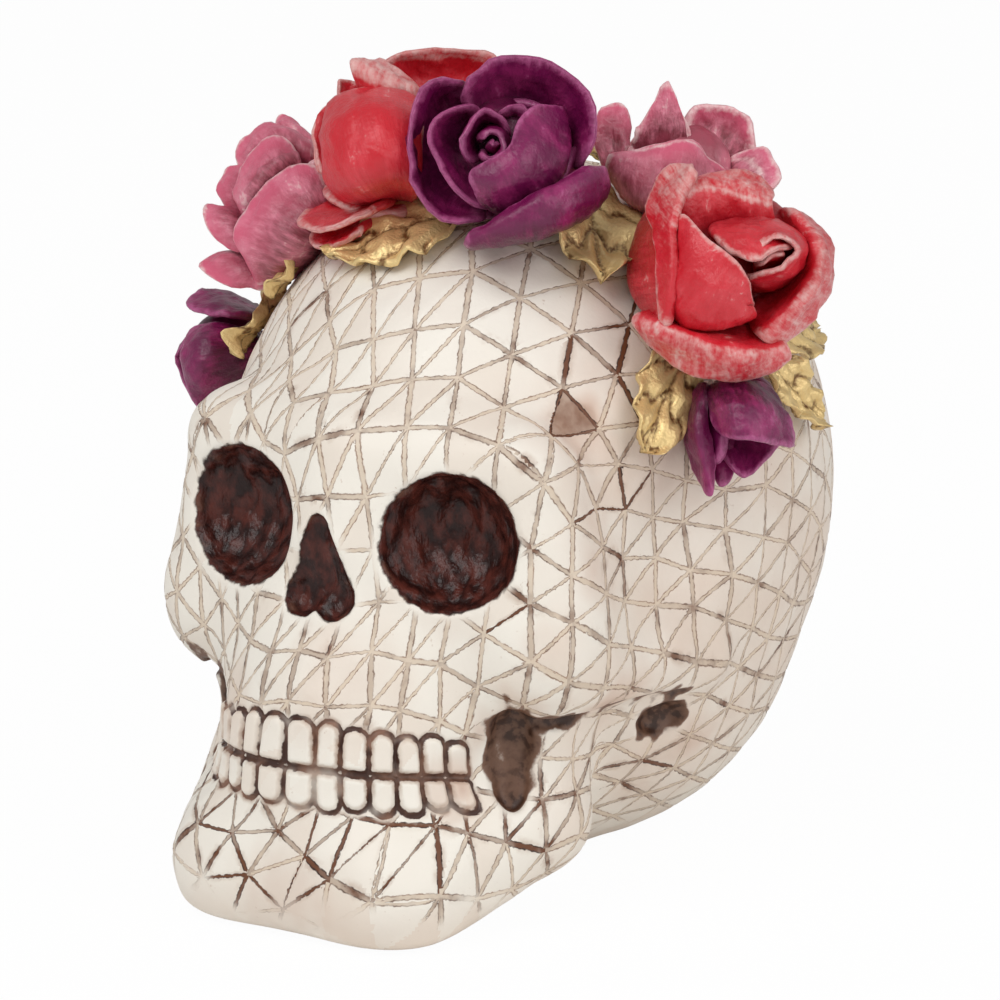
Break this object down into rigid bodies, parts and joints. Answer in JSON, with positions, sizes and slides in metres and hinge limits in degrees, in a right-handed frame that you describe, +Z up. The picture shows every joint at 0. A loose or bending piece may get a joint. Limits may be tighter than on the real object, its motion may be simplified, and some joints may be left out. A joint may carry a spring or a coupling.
{
  "type": "skull ornament",
  "caption": "Free-standing Day of the Dead skull ornament in cream resin, teeth clenched, with a garland of cast roses, rosebuds and gold leaves glued over its crown from ear to ear.",
  "frame": {"origin": "on the flat base the skull stands on, in its plane of symmetry, under the middle of the cranium's front half", "axes": "+Z up, -Y the way the face looks, +X towards the skull's own left"},
  "size_m": [0.131, 0.1447, 0.1435],
  "materials": {
    "skull_resin": "cream painted cast resin, incised triangle mosaic, sepia wash in the grooves, dark brown hollows",
    "red_petal": "red painted cast resin, satin, pale dry-brushed rims",
    "pink_petal": "pink painted cast resin, satin, brown wash in the folds",
    "purple_petal": "purple painted cast resin, satin, magenta dry-brushed rims",
    "gold_leaf": "antique gold painted cast resin, brown wash in the veins"
  },
  "bodies": {
    "root": {"skull": "skull_resin", "front_purple_rose": "purple_petal", "left_red_rose": "red_petal", "right_red_rose": "red_petal", "right_pink_rose": "pink_petal", "left_pink_rose": "pink_petal", "left_purple_bud": "purple_petal", "right_purple_bud": "purple_petal", "front_leaf_1": "gold_leaf", "front_leaf_2": "gold_leaf", "front_leaf_3": "gold_leaf", "front_leaf_4": "gold_leaf", "front_leaf_5": "gold_leaf", "back_leaf_1": "gold_leaf", "back_leaf_2": "gold_leaf", "back_leaf_3": "gold_leaf", "back_leaf_4": "gold_leaf", "back_leaf_5": "gold_leaf", "back_leaf_6": "gold_leaf"}
  },
  "joints": []
}
